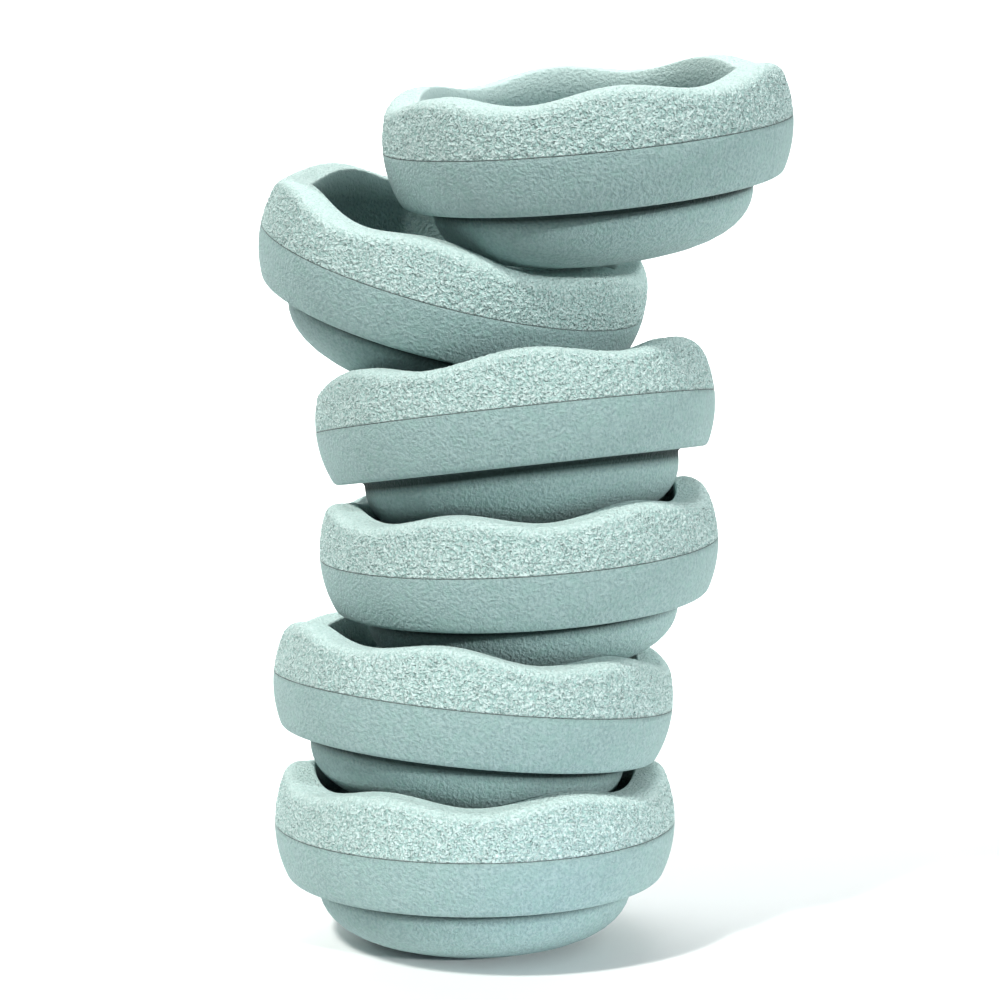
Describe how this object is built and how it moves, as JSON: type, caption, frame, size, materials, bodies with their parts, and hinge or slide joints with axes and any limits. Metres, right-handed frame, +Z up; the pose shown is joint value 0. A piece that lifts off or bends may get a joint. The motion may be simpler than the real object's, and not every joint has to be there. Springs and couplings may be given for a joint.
{
  "type": "stacking balance stepping stones",
  "caption": "Leaning stack of round mint foam stepping stones, each with a thick band, a domed underside, a wavy rim and an open bowl in which the next one nests.",
  "frame": {"origin": "middle of the flat foot of the lowest stone, on the floor", "axes": "+Z up through the lowest stone, +X to the right and -Y towards the viewer of the picture"},
  "size_m": [0.3634, 0.333, 0.6113],
  "materials": {
    "foam": "steam-moulded bead foam"
  },
  "bodies": {
    "stone_1": {"stone_1": "foam"},
    "stone_2": {"stone_2": "foam"},
    "stone_3": {"stone_3": "foam"},
    "stone_4": {"stone_4": "foam"},
    "stone_5": {"stone_5": "foam"},
    "stone_6": {"stone_6": "foam"}
  },
  "joints": [
    {"name": "lift_stone_2", "type": "slide", "parent": "stone_1", "child": "stone_2", "axis": [0, 0, 1], "range_m": [0, 0.12]},
    {"name": "lift_stone_3", "type": "slide", "parent": "stone_2", "child": "stone_3", "axis": [0.0976, 0.0434, 0.9943], "range_m": [0, 0.12]},
    {"name": "lift_stone_4", "type": "slide", "parent": "stone_3", "child": "stone_4", "axis": [-0.0576, -0.0609, 0.9965], "range_m": [0, 0.12]},
    {"name": "lift_stone_5", "type": "slide", "parent": "stone_4", "child": "stone_5", "axis": [-0.108, 0.0555, 0.9926], "range_m": [0, 0.12]},
    {"name": "lift_stone_6", "type": "slide", "parent": "stone_5", "child": "stone_6", "axis": [0.2453, -0.2296, 0.9419], "range_m": [0, 0.12]}
  ]
}
